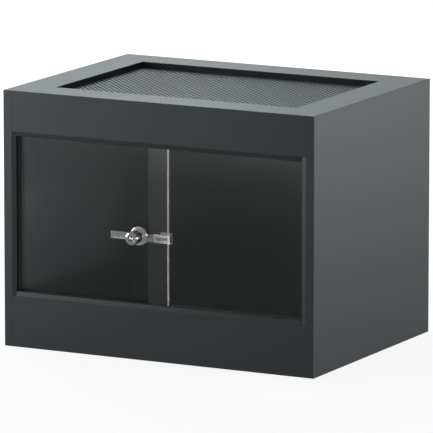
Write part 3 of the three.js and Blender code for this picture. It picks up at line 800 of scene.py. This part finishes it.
def add_lock_plug():
    """A plug for a tubular key: a ring-shaped keyway round a post, with a notch and a ring of pins."""
    low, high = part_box("lock_plug")
    axis = middle("lock_plug")
    radius = (high.x - low.x) / 2
    inner = KEY_RING_INNER_DIAMETER / 2
    outer = KEY_RING_OUTER_DIAMETER / 2
    ring_back = low.y + KEY_RING_DEPTH
    profile = [
        (0, low.y, 0),
        (inner, low.y, KEY_POST_ROUNDING),
        (inner, ring_back, 0),
        (outer, ring_back, 0),
        (outer, low.y, METAL_EASE),
        (radius, low.y, PLUG_ROUNDING),
        (radius, low.y + PLUG_LENGTH, METAL_EASE),
        (0, low.y + PLUG_LENGTH, 0),
    ]
    mesh = turned(rounded(profile), axis.x, axis.z)
    notch = block(
        (axis.x - KEY_NOTCH_WIDTH / 2, low.y - PLUG_ROUNDING, axis.z + inner),
        (axis.x + KEY_NOTCH_WIDTH / 2, ring_back, axis.z + outer + KEY_NOTCH_DEPTH),
    )
    mesh = combined(mesh, notch, "DIFFERENCE")
    for pin in range(KEY_PINS):
        turn = math.pi / 2 + 2 * math.pi * (pin + 0.5) / KEY_PINS
        place = Vector((math.cos(turn), 0, math.sin(turn))) * (inner + outer) / 2 + axis
        pin_profile = [
            (0, low.y + KEY_PIN_RECESS, 0),
            (KEY_PIN_DIAMETER / 2, low.y + KEY_PIN_RECESS, METAL_EASE),
            (KEY_PIN_DIAMETER / 2, ring_back + KEY_PIN_ROOT, 0),
            (0, ring_back + KEY_PIN_ROOT, 0),
        ]
        mesh = combined(mesh, turned(rounded(pin_profile), place.x, place.z, SMALL_SIDES), "UNION")
    back = low.y + PLUG_LENGTH
    cam_pin = CAM_PIN_DIAMETER / 2
    cam_profile = [
        (0, back - cam_pin, 0),
        (cam_pin, back - cam_pin, 0),
        (cam_pin, high.y, METAL_EASE),
        (0, high.y, 0),
    ]
    cam = turned(rounded(cam_profile), axis.x, axis.z + CAM_PIN_RADIUS, SMALL_SIDES)
    mesh = combined(mesh, cam, "UNION")
    add_piece("key_plug", mesh, [TURNED], "lock_plug", ["lock_plug"])


def add_rivet():
    low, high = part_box("clip_rivet")
    axis = middle("clip_rivet")
    head = (high.x - low.x) / 2
    shank = RIVET_SHANK_DIAMETER / 2
    shoulder = low.y + RIVET_HEAD_HEIGHT
    profile = [
        (0, low.y, 0),
        (head, low.y, RIVET_HEAD_ROUNDING),
        (head, shoulder, 0),
        (shank, shoulder, 0),
        (shank, high.y, 0),
        (0, high.y, 0),
    ]
    mesh = turned(rounded(profile), axis.x, axis.z, SMALL_SIDES)
    add_piece("hook_rivet", mesh, [CHROME], "rear_door", ["clip_rivet"])


# ---- Studio ----
def background_share(tree):
    """How much of the white background a ray shows: all to the camera, a share in metal and glass."""
    path = add_node(tree, "LightPath").outputs
    rays = {0: path["Is Glossy Ray"], 1: path["Is Transmission Ray"]}
    mirrored = add_node(tree, "Math", rays, operation="MAXIMUM").outputs[0]
    share = add_node(tree, "Math", {0: mirrored, 1: REFLECTED}, operation="MULTIPLY").outputs[0]
    return add_node(tree, "Math", {0: path["Is Camera Ray"], 1: share}, operation="MAXIMUM").outputs[0]


def add_floor():
    mesh = bmesh.new()
    bmesh.ops.create_grid(mesh, x_segments=1, y_segments=1, size=FLOOR_SIZE / 2)
    data = bpy.data.meshes.new("floor")
    mesh.to_mesh(data)
    mesh.free()
    floor = bpy.data.objects.new("floor", data)
    floor.location.z = -FLOOR_DROP
    scene.collection.objects.link(floor)
    material = bpy.data.materials.new("floor")
    material.use_nodes = True
    tree = material.node_tree
    tree.nodes.clear()
    place = add_node(tree, "TexCoord").outputs["Object"]
    distance = add_node(tree, "VectorMath", {0: place}, operation="LENGTH").outputs["Value"]
    strength = mapped(tree, distance, FLOOR_GLOW, 1.0, span=(FLOOR_NEAR, FLOOR_FAR))
    glow = add_node(tree, "Math", {0: background_share(tree), 1: strength}, operation="MULTIPLY")
    lit = add_node(tree, "BsdfDiffuse", {"Color": FLOOR_COLOUR})
    light = add_node(tree, "Emission", {"Strength": glow.outputs[0]})
    both = add_node(tree, "AddShader")
    tree.links.new(lit.outputs[0], both.inputs[0])
    tree.links.new(light.outputs[0], both.inputs[1])
    output = add_node(tree, "OutputMaterial")
    tree.links.new(both.outputs[0], output.inputs["Surface"])
    data.materials.append(material)


def set_world():
    world = bpy.data.worlds.new("studio")
    world.use_nodes = True
    scene.world = world
    tree = world.node_tree
    tree.nodes.clear()
    ambient = add_node(tree, "Background", {"Color": WORLD_COLOUR, "Strength": WORLD_STRENGTH})
    white = add_node(tree, "Background", {"Color": (1, 1, 1, 1), "Strength": 1.0})
    mix = add_node(tree, "MixShader", {0: background_share(tree)})
    tree.links.new(ambient.outputs[0], mix.inputs[1])
    tree.links.new(white.outputs[0], mix.inputs[2])
    output = add_node(tree, "OutputWorld")
    tree.links.new(mix.outputs[0], output.inputs["Surface"])


def add_softboxes():
    for name, (place, target, size, spread, colour, power) in SOFTBOXES.items():
        data = bpy.data.lights.new(name, "AREA")
        data.shape = "RECTANGLE"
        data.size, data.size_y = size
        data.spread = math.radians(spread)
        data.color = colour
        data.energy = power
        lamp = bpy.data.objects.new(name, data)
        lamp.location = place
        lamp.rotation_mode = "QUATERNION"
        lamp.rotation_quaternion = (Vector(target) - Vector(place)).to_track_quat("-Z", "Y")
        scene.collection.objects.link(lamp)


def add_camera():
    data = bpy.data.cameras.new("camera")
    data.lens = CAMERA_LENS
    data.sensor_width = CAMERA_SENSOR
    data.clip_start, data.clip_end = CAMERA_REACH
    camera = bpy.data.objects.new("camera", data)
    back = Vector(
        (
            math.sin(CAMERA_AZIMUTH) * math.cos(CAMERA_ELEVATION),
            -math.cos(CAMERA_AZIMUTH) * math.cos(CAMERA_ELEVATION),
            math.sin(CAMERA_ELEVATION),
        )
    )
    camera.location = CAMERA_PLACE
    camera.rotation_mode = "QUATERNION"
    camera.rotation_quaternion = (-back).to_track_quat("-Z", "Y")
    scene.collection.objects.link(camera)
    scene.camera = camera


add_camera()
finish_cad_nodes()
add_boards()
add_tracks()
add_screen()
add_strips()
add_panes()
add_lock_metal()
add_rivet()
add_lock_housing()
add_lock_plug()
add_floor()
set_world()
add_softboxes()

scene.view_settings.view_transform = "Standard"
